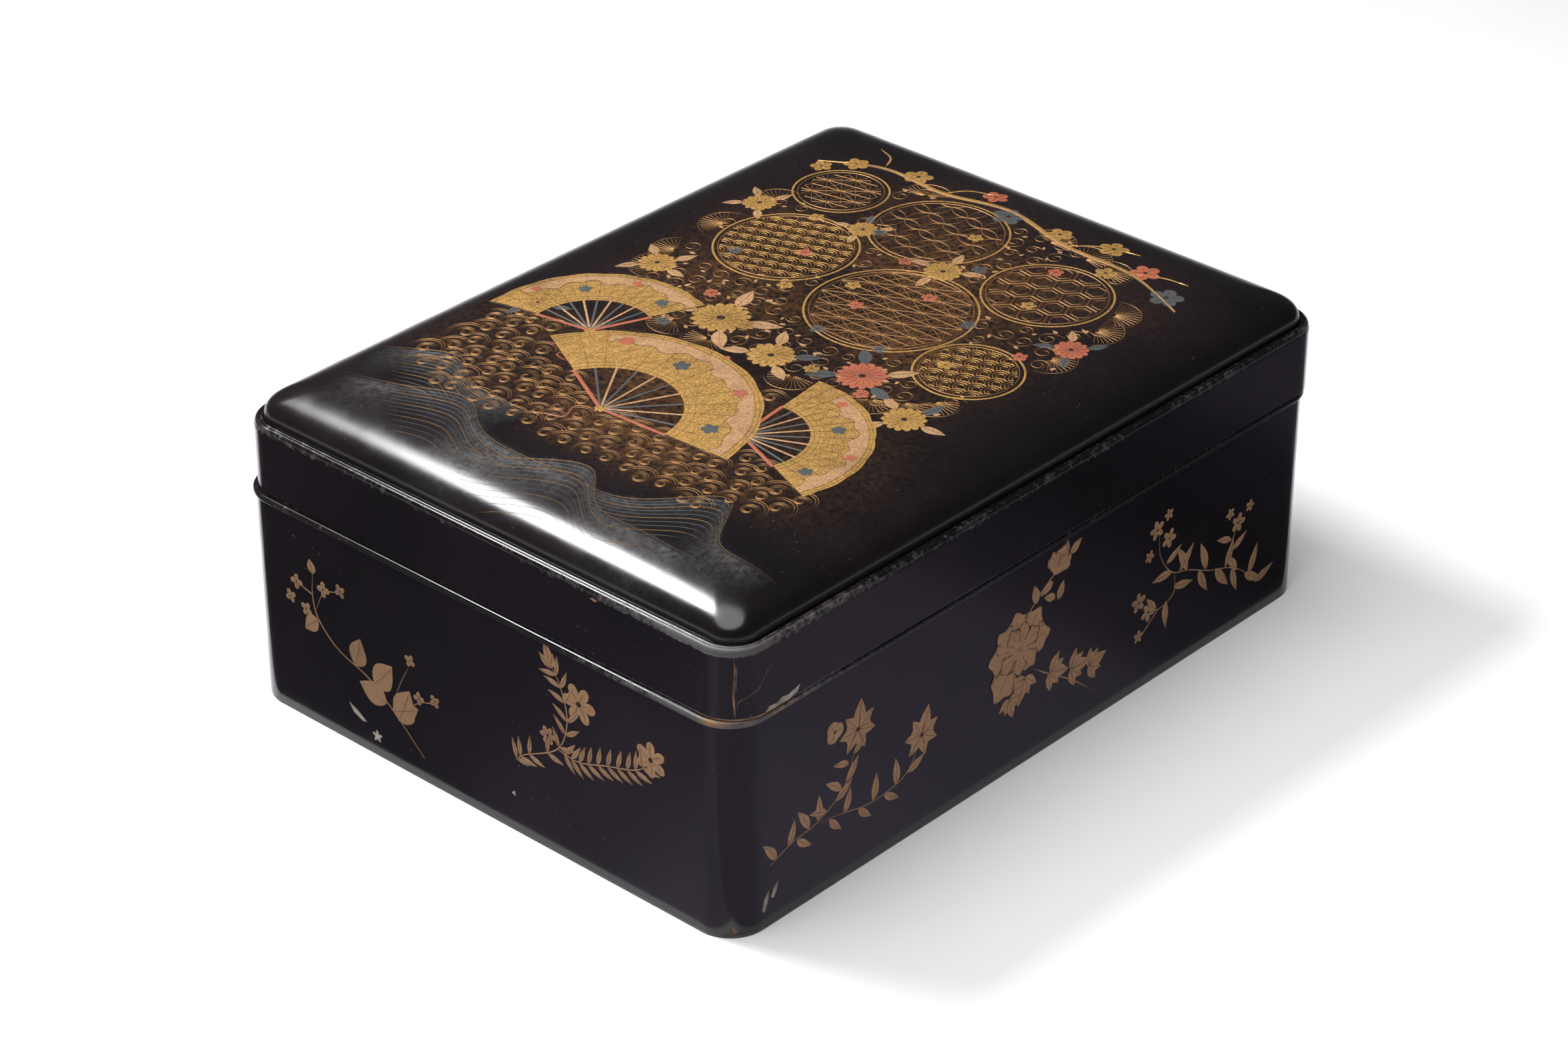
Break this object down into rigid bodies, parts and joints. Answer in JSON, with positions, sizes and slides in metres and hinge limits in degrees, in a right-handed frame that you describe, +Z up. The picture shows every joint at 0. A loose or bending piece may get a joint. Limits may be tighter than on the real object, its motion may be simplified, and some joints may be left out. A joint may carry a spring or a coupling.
{
  "type": "lacquer document box",
  "caption": "Rounded rectangular black lacquer box for documents, with a crowned lift-off lid over an inner rim and a half-round bead at the seam.",
  "frame": {"origin": "centre of the underside of the box", "axes": "+Z up, +Y towards the back end wall, X across the short side"},
  "size_m": [0.327, 0.433, 0.1736],
  "materials": {
    "black_lacquer": "gloss near-black lacquer over wood",
    "worn_lacquer": "worn black lacquer over wood, grey and copper at the edges",
    "inner_lacquer": "satin black lacquer over wood"
  },
  "bodies": {
    "box": {"base_board": "inner_lacquer", "box_wall_right": "black_lacquer", "box_wall_back": "black_lacquer", "box_wall_left": "black_lacquer", "box_wall_front": "black_lacquer", "seam_bead": "worn_lacquer", "rim_strip_right": "inner_lacquer", "rim_strip_back": "inner_lacquer", "rim_strip_left": "inner_lacquer", "rim_strip_front": "inner_lacquer"},
    "lid": {"lid_wall_right": "black_lacquer", "lid_wall_back": "black_lacquer", "lid_wall_left": "black_lacquer", "lid_wall_front": "black_lacquer", "lid_panel": "black_lacquer"}
  },
  "joints": [
    {"name": "lid_lift", "type": "slide", "parent": "box", "child": "lid", "axis": [0, 0, 1], "range_m": [0, 0.2]}
  ]
}
